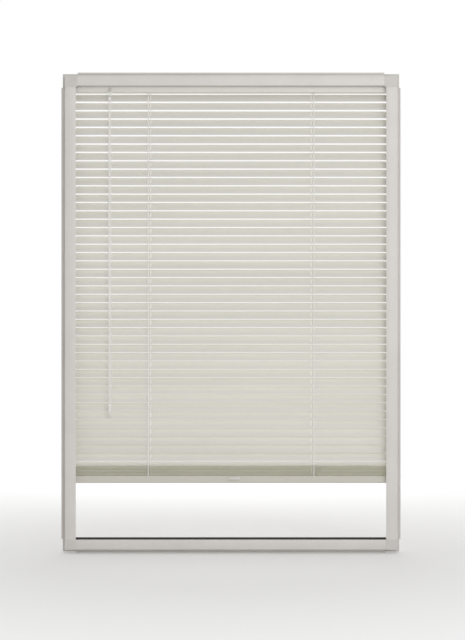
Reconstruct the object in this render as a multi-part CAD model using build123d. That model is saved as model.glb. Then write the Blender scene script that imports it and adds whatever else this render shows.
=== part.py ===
from build123d import *
from math import atan, cos, degrees, pi, radians, sin, sqrt, tan
import os

# Sizes in mm. X is to the right, Y goes from the room to the window, Z is up.
# The origin is the middle of the top profile's back face.

# Clear opening of the frame
opening_width = 776.0
opening_height = 1136.0

# Hollow frame profiles
frame_depth = 40.0
side_face = 27.0
rail_face = 24.0
profile_wall = 1.6
cover_overhang = 5.0
shoulder_width = 7.5
shoulder_depth = 22.0
lip_width = 3.3
lip_depth = 26.0
guide_slot_depth = 8.0
guide_slot_width = 10.0
guide_slot_back = 2.0
front_chamber_depth = 12.0
headrail_nest = 10.0

# Seal strip in the bottom profile
seal_width = 26.0
seal_back = 4.0
seal_height = 2.6
seal_groove = 1.0
seal_end_gap = 0.5

# Corner blocks
block_inset = 3.5
low_block_inset = 0.5
block_overlap = 0.5
block_proud = 1.2
block_wall = 4.5
spigot_length = 30.0
spigot_clearance = 0.15

# Overshoot of cuts past an open face
cut_margin = 1.0

# Clips on the back of the side profiles
clips_per_side = 3
clip_height = 24.0
clip_sheet = 1.0
clip_base = 24.0
clip_start = 8.0
clip_tongue = 16.0
clip_barb = 2.5
clip_peg_radius = 2.4
clip_peg_clearance = 0.1

# Headrail
headrail_size = 25.0
headrail_sheet = 0.8
headrail_lip = 3.0
headrail_back_gap = 1.5
end_cap_plate = 1.5
end_cap_spigot = 8.0
end_cap_clearance = 0.1
end_peg_radius = 3.0
end_peg_length = 3.4
end_peg_clearance = 0.1
end_peg_drop = 6.6

# Slats
slat_width = 25.0
slat_camber = 1.8
slat_thickness = 0.3
slat_end_gap = 1.5
slat_corner = 4.0
slat_pitch = 21.0
hanging_slats = 44
slat_tilt = 50.2
first_slat_drop = 12.8
closed_tilt = 70.0
lift_slot_clearance = 0.2
lift_slot_width = 2.2

# Stack of unused slats
stack_slats = 9
stack_pitch = 3.62
stack_drop = 47.6
lifted_tilt = 14.0
lifted_clearance = 0.1
fold_width = 3.0
fold_margin = 1.0

# Ladders and lift cords
ladder_spacing = 416.0
string_width = 2.0
string_depth = 1.0
string_offset = 1.9
rung_width = 1.5
rung_thickness = 0.8
lift_cord_side = 6.2
lift_cord_size = 1.2
lift_cord_run = 10.0
lift_cord_floor = 3.0
knot_size = 4.0
knot_height = 2.0
cord_hole_radius = 1.2
ladder_slot_width = 3.6
ladder_slot_length = 21.0

# Tilt rod, gear and drums
rod_across_flats = 5.0
rod_height = 10.1
rod_overhang = 14.0
rod_clearance = 0.05
hub_radius = 4.0
bearing_clearance = 0.05
gear_teeth = 16
gear_module = 0.8
gear_width = 4.0
gear_hub_half = 8.5
tooth_thickness = 0.8
tooth_flank = 20.0
root_clearance = 0.35
tooth_sink = 0.5
drum_width = 4.0
drum_hub_half = 4.9

# Cradles of the drums
cheek_gap = 0.4
cheek_width = 16.0
cheek_rise = 6.5
cradle_half = 12.0
cradle_base = 0.9

# Worm
worm_pitch_radius = 2.2
worm_incline = 55.0
worm_turns = 3.75
worm_start_turn = 2.75
worm_tail = 1.2
thread_thickness = 0.8
thread_steps = 16
thread_sink = 0.3
shank_radius = 1.8
eye_radius = 3.8
eye_wire = 1.0

# Tilter case
case_half = 9.0
case_clearance = 0.5
tilter_window_half = 4.5
tilter_window_height = 10.0

# Spring lift unit
spring_unit_gap = 18.0
spring_unit_end_gap = 3.0
spring_spools = 3
spring_tray_wall = 1.2
spring_tray_height = 16.0
spool_radius = 10.0
spool_core = 6.5
spool_flange = 1.5
spool_height = 14.0
spool_pin_radius = 2.0
spool_pin_clearance = 0.1

# Tilt wand
wand_x = -304.0
wand_y = -33.2
wand_across_flats = 6.0
wand_length = 773.0
hook_radius = 4.6
hook_wire = 1.0
hook_rise = 0.6
hook_tip = 2.4
hook_neck = 11.5
hook_stem = 14.5
cap_radius = 4.6
cap_length = 7.0
cap_socket = 5.0
cap_round = 1.0
grip_length = 19.0
grip_top_radius = 4.0
grip_end_radius = 5.6
grip_socket = 8.0
grip_neck_radius = 1.4
grip_neck_length = 4.6
grip_ball_radius = 3.6

# Bottom rail
rail_height = 17.0
rail_wall = 1.2
rail_corner = 2.5
rail_least_corner = 0.5
rail_end_gap = 4.0
rail_cap_plate = 2.5
rail_cap_spigot = 10.0
rail_cap_clearance = 0.1
glide_reach = 6.0
glide_height = 12.0
glide_clearance = 0.5
tab_width = 29.0
tab_centre = 8.0
tab_reach = 6.5
tab_ledge = 2.0
tab_height = 6.4
tab_top_drop = 1.0
tab_lower_lip = 1.6
tab_peg_radius = 1.5
tab_peg_length = 2.6
tab_peg_clearance = 0.1

# Derived places
half_width = opening_width / 2
guide_half = half_width + cover_overhang
top_back_height = rail_face - headrail_nest + shoulder_width + lip_width
open_top = -top_back_height / 2 - headrail_nest
open_bottom = open_top - opening_height
profile_end = half_width - block_inset
low_profile_end = half_width - low_block_inset
side_low = open_bottom + low_block_inset
side_high = open_top - block_inset
headrail_top = open_top + headrail_nest
headrail_bottom = headrail_top - headrail_size
headrail_floor = headrail_bottom + headrail_sheet
headrail_front = -headrail_back_gap - headrail_size
headrail_half = guide_half - end_cap_plate
end_peg_z = headrail_top - end_peg_drop
clip_peg_u = clip_start + clip_base / 2
side_chamber_back = guide_slot_back + guide_slot_width + profile_wall
top_chamber_back = frame_depth - front_chamber_depth + profile_wall
bottom_chamber_back = shoulder_depth + profile_wall
axis_y = -headrail_back_gap - headrail_size / 2
rod_z = headrail_floor + rod_height
ladder_x = ladder_spacing / 2
spring_unit_start = ladder_x + rod_overhang + spring_unit_gap
spring_unit_end = headrail_half - end_cap_spigot - spring_unit_end_gap
first_slat_z = headrail_bottom - first_slat_drop
last_slat_z = first_slat_z - slat_pitch * (hanging_slats - 1)
rail_edge_z = last_slat_z - stack_drop
stack_top_z = rail_edge_z + (stack_slats - 1) * stack_pitch
rail_bottom_z = rail_edge_z - rail_height
rail_half = guide_half - rail_end_gap
slat_half_length = guide_half - slat_end_gap
slat_half = slat_width / 2
camber_radius = (slat_half**2 + slat_camber**2) / (2 * slat_camber)
camber_centre = slat_camber - camber_radius
closed_slope = tan(radians(closed_tilt))
closed_cord_half = (lift_cord_size / 2 + lift_slot_clearance) / cos(radians(closed_tilt))
lift_slot_length = 2 * (slat_camber * closed_slope + closed_cord_half)
string_chord = slat_half + string_offset
string_y = string_chord * cos(radians(slat_tilt))
drum_radius = string_y - string_depth / 2
lift_cord_z = headrail_floor + lift_cord_floor
gear_pitch_radius = gear_teeth * gear_module / 2
gear_tip_radius = gear_pitch_radius + gear_module
gear_root_radius = gear_pitch_radius - gear_module - root_clearance
worm_tip_radius = worm_pitch_radius + gear_module
worm_core_radius = worm_pitch_radius - gear_module - root_clearance
worm_lead = pi * gear_module
worm_start = -worm_start_turn * worm_lead
worm_end = worm_start + worm_turns * worm_lead
lead_angle = degrees(atan(worm_lead / (2 * pi * worm_pitch_radius)))
worm_distance = gear_pitch_radius + worm_pitch_radius
worm_down = (0, -cos(radians(worm_incline)), -sin(radians(worm_incline)))
worm_y = axis_y - worm_distance * sin(radians(worm_incline))
worm_z = rod_z + worm_distance * cos(radians(worm_incline))
worm_frame = Plane(origin=(wand_x, worm_y, worm_z), x_dir=(1, 0, 0), z_dir=worm_down)
eye_reach = (worm_y - wand_y) / cos(radians(worm_incline))
eye_z = worm_z - eye_reach * sin(radians(worm_incline))


def slab(x0, x1, y0, y1, z0, z1):
    return Pos((x0 + x1) / 2, (y0 + y1) / 2, (z0 + z1) / 2) * Box(x1 - x0, y1 - y0, z1 - z0)


def polygon(points):
    return make_face(Polyline(*points, close=True))


def along_x(face, x0, x1):
    return extrude(Plane.YZ.offset(x0) * face, amount=x1 - x0)


def x_cylinder(radius, x0, x1, y, z):
    return Pos((x0 + x1) / 2, y, z) * Rot(0, 90, 0) * Cylinder(radius, x1 - x0)


def x_hexagon(across_flats, x0, x1, y, z):
    face = RegularPolygon(across_flats / 2, 6, major_radius=False)
    return Pos(0, y, z) * along_x(face, x0, x1)


def both_sides(shape):
    return [shape, mirror(shape, about=Plane.YZ)]


# Frame profiles, drawn as distance outward from the opening and depth


def outer_steps(face):
    edge = face + shoulder_width
    return [
        (0, -frame_depth),
        (face, -frame_depth),
        (face, -shoulder_depth),
        (edge, -shoulder_depth),
        (edge, -lip_depth),
        (edge + lip_width, -lip_depth),
        (edge + lip_width, 0),
    ]


def front_chamber(face, start, back):
    wall = profile_wall
    return [
        (start, -frame_depth + wall),
        (face - wall, -frame_depth + wall),
        (face - wall, -back),
        (start, -back),
    ]


def back_chamber(face, start, front):
    wall = profile_wall
    return [
        (start, -front),
        (face - wall, -front),
        (face - wall, -shoulder_depth + wall),
        (face + shoulder_width, -shoulder_depth + wall),
        (face + shoulder_width, -wall),
        (start, -wall),
    ]


def side_section():
    slot_front = guide_slot_back + guide_slot_width
    slot_end = cover_overhang + guide_slot_depth
    front = -frame_depth + profile_wall
    slot = [
        (cover_overhang, 0),
        (cover_overhang, -guide_slot_back),
        (slot_end, -guide_slot_back),
        (slot_end, -slot_front),
        (cover_overhang, -slot_front),
        (cover_overhang, front),
        (side_face, front),
    ]
    face = polygon(slot + outer_steps(side_face)[2:])
    face -= polygon(
        [
            (cover_overhang + profile_wall, front + profile_wall),
            (side_face - profile_wall, front + profile_wall),
            (side_face - profile_wall, -side_chamber_back),
            (cover_overhang + profile_wall, -side_chamber_back),
        ]
    )
    face -= polygon(
        [
            (slot_end + profile_wall, -slot_front),
            (side_face, -slot_front),
            (side_face, -shoulder_depth + profile_wall),
            (side_face + shoulder_width, -shoulder_depth + profile_wall),
            (side_face + shoulder_width, -profile_wall),
            (slot_end + profile_wall, -profile_wall),
        ]
    )
    return face


def top_section():
    nest_front = frame_depth - front_chamber_depth
    nest = [(headrail_nest, 0), (headrail_nest, -nest_front), (0, -nest_front)]
    face = polygon(outer_steps(rail_face) + nest)
    face -= polygon(front_chamber(rail_face, profile_wall, top_chamber_back))
    face -= polygon(back_chamber(rail_face, headrail_nest + profile_wall, nest_front))
    return face


def bottom_section():
    groove_front = seal_back + seal_width
    groove = [
        (0, 0),
        (0, -seal_back),
        (seal_groove, -seal_back),
        (seal_groove, -groove_front),
        (0, -groove_front),
    ]
    start = profile_wall + seal_groove
    face = polygon(outer_steps(rail_face) + groove)
    face -= polygon(front_chamber(rail_face, start, bottom_chamber_back))
    face -= polygon(back_chamber(rail_face, start, shoulder_depth))
    return face


def clip_heights():
    span = opening_height / clips_per_side
    return [open_bottom + span * (n + 0.5) for n in range(clips_per_side)]


def side_cover():
    edge = half_width + side_face
    front = -frame_depth
    return slab(half_width, edge, front, front + profile_wall, side_low, side_high)


def side_profile():
    frame = Plane(origin=(half_width, 0, side_low), x_dir=(1, 0, 0), z_dir=(0, 0, 1))
    profile = extrude(frame * side_section(), amount=side_high - side_low)
    for z in clip_heights():
        hole = Cylinder(clip_peg_radius + clip_peg_clearance, 2 * profile_wall)
        profile -= Pos(half_width + clip_peg_u, -profile_wall, z) * Rot(90, 0, 0) * hole
    return profile


def frame_profiles():
    top_frame = Plane(origin=(profile_end, 0, open_top), x_dir=(0, 0, 1), z_dir=(-1, 0, 0))
    low_frame = Plane(origin=(-low_profile_end, 0, open_bottom), x_dir=(0, 0, -1), z_dir=(1, 0, 0))
    top = extrude(top_frame * top_section(), amount=2 * profile_end)
    bottom = extrude(low_frame * bottom_section(), amount=2 * low_profile_end)
    return both_sides(side_profile()) + both_sides(side_cover()) + [top, bottom]


def seal_strip():
    low = open_bottom - seal_groove
    end = guide_half - seal_end_gap
    return [slab(-end, end, -seal_back - seal_width, -seal_back, low, low + seal_height)]


# Corner block in its own place: X outward from the side, Z outward from the rail


def corner_block(block_edge, rail_chamber_start, rail_chamber_back, hollow_start):
    gap = spigot_clearance
    inset = -block_edge
    side_edge = side_face + block_overlap
    rail_edge = rail_face + block_overlap
    block = slab(inset, side_edge, -frame_depth - block_proud, 0, inset, rail_edge)
    block = fillet(block.faces().sort_by(Axis.Y)[0].edges(), block_proud / 2)
    block += slab(inset, side_face + shoulder_width, -shoulder_depth, 0, inset, rail_face + shoulder_width)
    block -= slab(
        hollow_start,
        side_edge - block_wall,
        -frame_depth + block_wall,
        0,
        inset + block_wall,
        rail_edge - block_wall,
    )
    front = -frame_depth + profile_wall + gap
    block += slab(
        cover_overhang + profile_wall + gap,
        side_face - profile_wall - gap,
        front + profile_wall,
        -side_chamber_back - gap,
        inset - spigot_length,
        inset,
    )
    block += slab(
        inset - spigot_length,
        inset,
        front,
        -rail_chamber_back - gap,
        rail_chamber_start + gap,
        rail_face - profile_wall - gap,
    )
    return block


def upper_block():
    block = corner_block(block_inset, profile_wall, top_chamber_back, cover_overhang + block_wall)
    nest_front = frame_depth - front_chamber_depth
    block -= slab(-block_inset, cover_overhang, -nest_front, 0, -block_inset, headrail_nest)
    depth = end_peg_length + end_peg_clearance
    radius = end_peg_radius + end_peg_clearance
    return block - x_cylinder(radius, cover_overhang, cover_overhang + depth, axis_y, end_peg_z - open_top)


# The seal strip's groove goes on into the lower block, behind the side cover


def lower_block():
    inset = low_block_inset
    block = corner_block(inset, profile_wall + seal_groove, bottom_chamber_back, block_wall - inset)
    return block - slab(-inset, cover_overhang, -seal_back - seal_width, -seal_back, -inset, seal_groove)


def corner_blocks():
    upper = Pos(half_width, 0, open_top) * upper_block()
    lower = Pos(half_width, 0, open_bottom) * mirror(lower_block(), about=Plane.XY)
    return both_sides(upper) + both_sides(lower)


def window_clip(z):
    tip = clip_sheet + clip_tongue
    start = half_width + clip_start
    outline = [
        (start, 0),
        (start + clip_base, 0),
        (start + clip_base, clip_sheet),
        (start + clip_sheet, clip_sheet),
        (start + clip_sheet, tip - 2 * clip_barb),
        (start + clip_sheet + clip_barb, tip - clip_barb),
        (start + clip_sheet, tip),
        (start, tip),
    ]
    clip = Pos(0, 0, z - clip_height / 2) * extrude(polygon(outline), amount=clip_height)
    peg = Pos(half_width + clip_peg_u, -profile_wall / 2, z) * Rot(90, 0, 0)
    return clip + peg * Cylinder(clip_peg_radius, profile_wall)


def window_clips():
    return [clip for z in clip_heights() for clip in both_sides(window_clip(z))]


# Headrail and the pieces fixed in it


def headrail():
    front = headrail_front
    back = -headrail_back_gap
    sheet = headrail_sheet
    outline = [
        (front, headrail_top),
        (front, headrail_bottom),
        (back, headrail_bottom),
        (back, headrail_top),
        (back - headrail_lip, headrail_top),
        (back - headrail_lip, headrail_top - sheet),
        (back - sheet, headrail_top - sheet),
        (back - sheet, headrail_floor),
        (front + sheet, headrail_floor),
        (front + sheet, headrail_top - sheet),
        (front + headrail_lip, headrail_top - sheet),
        (front + headrail_lip, headrail_top),
    ]
    rail = along_x(polygon(outline), -headrail_half, headrail_half)
    for side in (-1, 1):
        rail -= ladder_opening(side, headrail_bottom - cut_margin, headrail_floor + cut_margin)
    exit_reach = (worm_y - headrail_front) / cos(radians(worm_incline))
    exit_z = worm_z - exit_reach * sin(radians(worm_incline))
    rail -= slab(
        wand_x - tilter_window_half,
        wand_x + tilter_window_half,
        front - cut_margin,
        front + sheet + cut_margin,
        exit_z - tilter_window_height / 2,
        exit_z + tilter_window_height / 2,
    )
    return [rail]


def ladder_opening(side, low, high):
    x = side * ladder_x
    half = ladder_slot_length / 2
    slot = slab(x - ladder_slot_width / 2, x + ladder_slot_width / 2, axis_y - half, axis_y + half, low, high)
    lift_x = side * (ladder_x - lift_cord_side)
    return slot + Pos(lift_x, axis_y, (low + high) / 2) * Cylinder(cord_hole_radius, high - low)


def headrail_end_cap():
    back = -headrail_back_gap
    gap = headrail_sheet + end_cap_clearance
    cap = slab(headrail_half, guide_half, headrail_front, back, headrail_bottom, headrail_top)
    cap += slab(
        headrail_half - end_cap_spigot,
        headrail_half,
        headrail_front + gap,
        back - gap,
        headrail_bottom + gap,
        headrail_top - gap,
    )
    return cap + x_cylinder(end_peg_radius, guide_half, guide_half + end_peg_length, axis_y, end_peg_z)


def tilter_case():
    inner_front = headrail_front + headrail_sheet
    inner_back = -headrail_back_gap - headrail_sheet
    top = headrail_top - headrail_sheet
    case = slab(wand_x - case_half, wand_x + case_half, inner_front, inner_back, headrail_floor, top)
    gear_half = gear_width / 2 + case_clearance
    case -= x_cylinder(
        gear_tip_radius + case_clearance, wand_x - gear_half, wand_x + gear_half, axis_y, rod_z
    )
    bore = hub_radius + bearing_clearance
    reach = case_half + cut_margin
    case -= x_cylinder(bore, wand_x - reach, wand_x + reach, axis_y, rod_z)
    low = worm_start - thread_thickness
    high = worm_end + thread_thickness
    case -= worm_frame * Pos(0, 0, (low + high) / 2) * Cylinder(worm_tip_radius + case_clearance, high - low)
    case -= worm_frame * Pos(0, 0, eye_reach / 2) * Cylinder(shank_radius + bearing_clearance, eye_reach)
    tail = Cylinder(worm_core_radius + bearing_clearance, 2 * worm_tail)
    case -= worm_frame * Pos(0, 0, low) * tail
    halves = split(case, bisect_by=Plane(origin=(wand_x, 0, 0), z_dir=(1, 0, 0)), keep=Keep.BOTH)
    return list(halves.solids())


def drum_cradle(side):
    x = side * ladder_x
    inner_front = headrail_front + headrail_sheet
    inner_back = -headrail_back_gap - headrail_sheet
    base_top = headrail_floor + cradle_base
    cradle = slab(x - cradle_half, x + cradle_half, inner_front, inner_back, headrail_floor, base_top)
    cradle -= ladder_opening(side, headrail_floor - cut_margin, base_top + cut_margin)
    cheek_start = drum_width / 2 + cheek_gap
    for way in (-1, 1):
        near, far = sorted((x + way * cheek_start, x + way * drum_hub_half))
        cradle += slab(
            near, far, axis_y - cheek_width / 2, axis_y + cheek_width / 2, headrail_floor, rod_z + cheek_rise
        )
    bore = hub_radius + bearing_clearance
    return cradle - x_cylinder(bore, x - cradle_half, x + cradle_half, axis_y, rod_z)


def headrail_fittings():
    return both_sides(headrail_end_cap()) + tilter_case() + [drum_cradle(-1), drum_cradle(1)]


def spool(x, floor):
    body = Cylinder(spool_core, spool_height)
    flange = Cylinder(spool_radius, spool_flange)
    rise = (spool_height - spool_flange) / 2
    body += Pos(0, 0, rise) * flange
    body += Pos(0, 0, -rise) * flange
    body -= Cylinder(spool_pin_radius + spool_pin_clearance, spool_height)
    return Pos(x, axis_y, floor + spool_height / 2) * body


def lift_spring_unit():
    x0 = spring_unit_start
    x1 = spring_unit_end
    front = headrail_front + headrail_sheet
    back = -headrail_back_gap - headrail_sheet
    wall = spring_tray_wall
    floor = headrail_floor + wall
    top = headrail_floor + spring_tray_height
    tray = slab(x0, x1, front, back, headrail_floor, top)
    tray -= slab(x0 + wall, x1 - wall, front + wall, back - wall, floor, top + cut_margin)
    places = [x0 + (x1 - x0) * (n + 0.5) / spring_spools for n in range(spring_spools)]
    for x in places:
        tray += Pos(x, axis_y, floor + spool_height / 2) * Cylinder(spool_pin_radius, spool_height)
    return [tray] + [spool(x, floor) for x in places]


# Tilt gear train


def tilt_rod():
    return [x_hexagon(rod_across_flats, wand_x - rod_overhang, ladder_x + rod_overhang, axis_y, rod_z)]


def rod_hole(x, half):
    return x_hexagon(rod_across_flats + 2 * rod_clearance, x - half, x + half, axis_y, rod_z)


def gear_tooth():
    slope = tan(radians(tooth_flank))
    low = gear_root_radius - tooth_sink
    low_half = tooth_thickness / 2 + (gear_pitch_radius - low) * slope
    tip_half = tooth_thickness / 2 - gear_module * slope
    outline = [(-low_half, low), (low_half, low), (tip_half, gear_tip_radius), (-tip_half, gear_tip_radius)]
    long = gear_width / cos(radians(lead_angle)) + 2 * low_half
    tooth = Rot(0, 0, -lead_angle) * along_x(polygon(outline), -long / 2, long / 2)
    return tooth & Box(gear_width, 4 * gear_tip_radius, 4 * gear_tip_radius)


def tilter_gear():
    gear = x_cylinder(gear_root_radius, -gear_width / 2, gear_width / 2, 0, 0)
    gear += x_cylinder(hub_radius, -gear_hub_half, gear_hub_half, 0, 0)
    tooth = gear_tooth()
    for n in range(gear_teeth):
        gear += Rot(worm_incline + (n + 0.5) * 360 / gear_teeth, 0, 0) * tooth
    return [Pos(wand_x, axis_y, rod_z) * gear - rod_hole(wand_x, gear_hub_half)]


def ladder_drum(x):
    drum = x_cylinder(drum_radius, x - drum_width / 2, x + drum_width / 2, axis_y, rod_z)
    drum += x_cylinder(hub_radius, x - drum_hub_half, x + drum_hub_half, axis_y, rod_z)
    return drum - rod_hole(x, drum_hub_half)


def ladder_drums():
    return [ladder_drum(-ladder_x), ladder_drum(ladder_x)]


def worm_thread():
    slope = tan(radians(tooth_flank))
    low = worm_core_radius - thread_sink
    low_half = thread_thickness / 2 + (worm_pitch_radius - low) * slope
    tip_half = thread_thickness / 2 - gear_module * slope
    outline = [(low, -low_half), (worm_tip_radius, -tip_half), (worm_tip_radius, tip_half), (low, low_half)]
    rings = []
    for step in range(round(worm_turns * thread_steps) + 1):
        turn = 2 * pi * step / thread_steps
        rise = worm_start + worm_lead * step / thread_steps
        rings.append([Vector(r * cos(turn), r * sin(turn), rise + z) for r, z in outline])
    faces = [flat_face(rings[0]), flat_face(rings[-1])]
    for ring, after in zip(rings, rings[1:]):
        for k in range(4):
            corner = after[(k + 1) % 4]
            faces.append(flat_face([ring[k], ring[(k + 1) % 4], corner]))
            faces.append(flat_face([ring[k], corner, after[k]]))
    return Solid(Shell(faces))


def flat_face(points):
    return Face(Wire.make_polygon(points, close=True))


def tilter_worm():
    low = worm_start - thread_thickness - worm_tail / 2
    high = worm_end + thread_thickness / 2
    worm = Pos(0, 0, (low + high) / 2) * Cylinder(worm_core_radius, high - low)
    worm += worm_thread()
    ring = eye_reach - eye_radius
    worm += Pos(0, 0, (high + ring) / 2) * Cylinder(shank_radius, ring - high)
    worm += Pos(0, 0, eye_reach) * Rot(0, 90, 0) * Torus(eye_radius, eye_wire)
    return [worm_frame * worm]


def wand_hook():
    side = hook_rise - hook_radius
    tip = Line((-hook_radius, 0, side - hook_tip), (-hook_radius, 0, side))
    top = ThreePointArc((-hook_radius, 0, side), (0, 0, hook_rise), (hook_radius, 0, side))
    neck = Spline((hook_radius, 0, side), (0, 0, -hook_neck), tangents=((0, 0, -1), (0, 0, -1)))
    stem = Line((0, 0, -hook_neck), (0, 0, -hook_stem))
    path = Wire([*tip.edges(), *top.edges(), *neck.edges(), *stem.edges()])
    start = Plane(origin=(-hook_radius, 0, side - hook_tip), z_dir=(0, 0, 1))
    return sweep(start * Circle(hook_wire), path=path)


def wand_hexagon(low, high):
    face = RegularPolygon(wand_across_flats / 2, 6, major_radius=False)
    return Pos(0, 0, low) * extrude(face, amount=high - low)


def wand_grip(top):
    low = top - grip_length
    ball = low - grip_neck_length - grip_ball_radius
    bell = Spline((grip_top_radius, top), (grip_end_radius, low), tangents=((0, -1), (1, -1)))
    outline = Polyline((grip_end_radius, low), (0, low), (0, top), (grip_top_radius, top))
    grip = revolve(Plane.XZ * make_face([bell, outline]), axis=Axis.Z)
    grip += Pos(0, 0, (low + ball) / 2) * Cylinder(grip_neck_radius, low - ball)
    grip += Pos(0, 0, ball) * Sphere(grip_ball_radius)
    return grip - wand_hexagon(top - grip_socket, top)


def tilt_wand():
    cap_top = -hook_stem + cap_length - cap_socket
    cap_low = cap_top - cap_length
    rod_top = cap_low + cap_socket
    rod_low = rod_top - wand_length
    cap = Pos(0, 0, (cap_top + cap_low) / 2) * Cylinder(cap_radius, cap_length)
    cap = fillet(cap.edges().filter_by(GeomType.CIRCLE).sort_by(Axis.Z)[-1], cap_round)
    cap -= wand_hexagon(cap_low, rod_top)
    cap -= Pos(0, 0, cap_top) * Cylinder(hook_wire, 2 * (cap_top + hook_stem))
    grip = wand_grip(rod_low + grip_socket)
    pieces = [wand_hook(), cap, wand_hexagon(rod_low, rod_top), grip]
    return [Pos(wand_x, wand_y, eye_z) * piece for piece in pieces]


# Slats, drawn with the chord of the underside along Y at Z = 0


def camber_height(radius, chord):
    return sqrt(radius**2 - chord**2) + camber_centre


def flat_slat():
    outer_radius = camber_radius + slat_thickness
    grow = outer_radius / camber_radius
    edge = slat_half * grow
    edge_z = camber_height(outer_radius, edge)
    lower = ThreePointArc((-slat_half, 0), (0, slat_camber), (slat_half, 0))
    upper = ThreePointArc((edge, edge_z), (0, slat_camber + slat_thickness), (-edge, edge_z))
    ends = [Line((slat_half, 0), (edge, edge_z)), Line((-edge, edge_z), (-slat_half, 0))]
    slat = along_x(make_face([lower, upper, *ends]), -slat_half_length, slat_half_length)
    room = 2 * slat_camber
    plan = RectangleRounded(2 * slat_half_length, 2 * edge, slat_corner)
    for side in (-1, 1):
        x = side * (ladder_x - lift_cord_side)
        plan -= Pos(x, 0) * Rot(0, 0, 90) * SlotOverall(lift_slot_length, lift_slot_width)
    return slat & Pos(0, 0, -room) * extrude(plan, amount=3 * room)


def hung_slat(slat, n):
    return Pos(0, axis_y, first_slat_z - n * slat_pitch) * Rot(slat_tilt, 0, 0) * slat


def lifted(y, z, tilt):
    turn = radians(tilt)
    reach = y + slat_half
    return (reach * cos(turn) - z * sin(turn) - slat_half, reach * sin(turn) + z * cos(turn))


def folded_ladder(level, tilt):
    outer_radius = camber_radius + slat_thickness
    half = slat_half - fold_margin
    low = camber_height(outer_radius, half)
    high = camber_height(camber_radius, half)
    tops = [lifted(y, z, tilt) for y, z in ((half, high), (0, slat_camber), (-half, high))]
    tops = [(y, z + stack_pitch) for y, z in tops]
    lower = ThreePointArc((-half, low), (0, slat_camber + slat_thickness), (half, low))
    ends = [Line((half, low), tops[0]), Line(tops[2], (-half, low))]
    section = make_face([lower, ThreePointArc(*tops), *ends])
    fold = along_x(section, ladder_x - fold_width / 2, ladder_x + fold_width / 2)
    return Pos(0, axis_y, rail_edge_z + level * stack_pitch) * fold


def lifted_slat(slat):
    return Pos(0, axis_y - slat_half, stack_top_z) * Rot(lifted_tilt, 0, 0) * Pos(0, slat_half, 0) * slat


def slat_stack(slat):
    stack = [Pos(0, axis_y, rail_edge_z + n * stack_pitch) * slat for n in range(stack_slats - 1)]
    stack.append(lifted_slat(slat))
    for level in range(stack_slats - 1):
        tilt = lifted_tilt if level == stack_slats - 2 else 0
        stack += both_sides(folded_ladder(level, tilt))
    return stack


# Ladders and lift cords


def string_end(y):
    turn = radians(lifted_tilt)
    along = (y + slat_half) / cos(turn) - slat_half
    rise = camber_height(camber_radius + slat_thickness, along)
    return stack_top_z + lifted(along, rise, lifted_tilt)[1] + rise * sin(turn) * tan(turn) + lifted_clearance


def ladder(x):
    half = string_width / 2
    rung = slab(-rung_width / 2, rung_width / 2, -string_chord, string_chord, -rung_thickness, 0)
    far = drum_radius + string_depth
    ladder = slab(x - half, x + half, axis_y + drum_radius, axis_y + far, string_end(far), rod_z)
    ladder += slab(x - half, x + half, axis_y - far, axis_y - drum_radius, string_end(-drum_radius), rod_z)
    rungs = [Pos(x, 0, 0) * hung_slat(rung, n) for n in range(hanging_slats)]
    return ladder + rungs


def lift_cord(side, way):
    x = side * (ladder_x - lift_cord_side)
    half = lift_cord_size / 2
    top = lift_cord_z + half
    run_y = axis_y + way * lift_cord_run
    knot_top = rail_edge_z + camber_height(camber_radius - rail_wall, knot_size / 2)
    near, far = sorted((axis_y - way * half, run_y + way * half))
    cord = slab(x - half, x + half, axis_y - half, axis_y + half, knot_top - knot_height, top)
    cord += slab(x - half, x + half, near, far, top - lift_cord_size, top)
    cord += slab(x - half, spring_unit_start, run_y - half, run_y + half, top - lift_cord_size, top)
    reach = knot_size / 2
    return cord + slab(x - reach, x + reach, axis_y - reach, axis_y + reach, knot_top - knot_height, knot_top)


def cords():
    return [ladder(-ladder_x), ladder(ladder_x), lift_cord(-1, -1), lift_cord(1, 1)]


# Bottom rail


def rail_section(inset):
    half = slat_half - inset
    radius = camber_radius - inset
    edge = camber_height(radius, half)
    low = -rail_height + inset
    top = ThreePointArc((-half, edge), (0, slat_camber - inset), (half, edge))
    walls = Polyline((half, edge), (half, low), (-half, low), (-half, edge))
    return make_face([top, walls])


def rail_solid(inset, x0, x1):
    solid = Pos(0, axis_y, rail_edge_z) * along_x(rail_section(inset), x0, x1)
    corners = solid.edges().filter_by(Axis.X).group_by(Axis.Z)[0]
    return fillet(corners, max(rail_corner - inset, rail_least_corner))


def bottom_rail():
    rail = rail_solid(0, -rail_half, rail_half) - rail_solid(rail_wall, -rail_half, rail_half)
    for side in (-1, 1):
        x = side * (ladder_x - lift_cord_side)
        rail -= Pos(x, axis_y, rail_edge_z) * Cylinder(cord_hole_radius, 4 * slat_camber)
    for peg in tab_pegs(tab_peg_radius + tab_peg_clearance, rail_wall + cut_margin):
        rail -= peg
    return [rail]


def tab_pegs(radius, length):
    front = axis_y - slat_half
    z = rail_edge_z - tab_top_drop - tab_height / 2
    peg = Rot(90, 0, 0) * Cylinder(radius, length)
    return [Pos(tab_centre + way * tab_width / 4, front + length / 2, z) * peg for way in (-1, 1)]


def pull_tab():
    front = axis_y - slat_half
    top = rail_edge_z - tab_top_drop
    low = top - tab_height
    outline = [
        (front, top),
        (front - tab_ledge, top),
        (front - tab_reach, low + tab_lower_lip),
        (front - tab_reach, low),
        (front, low),
    ]
    tab = along_x(polygon(outline), tab_centre - tab_width / 2, tab_centre + tab_width / 2)
    for peg in tab_pegs(tab_peg_radius, tab_peg_length):
        tab += peg
    return tab


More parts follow.
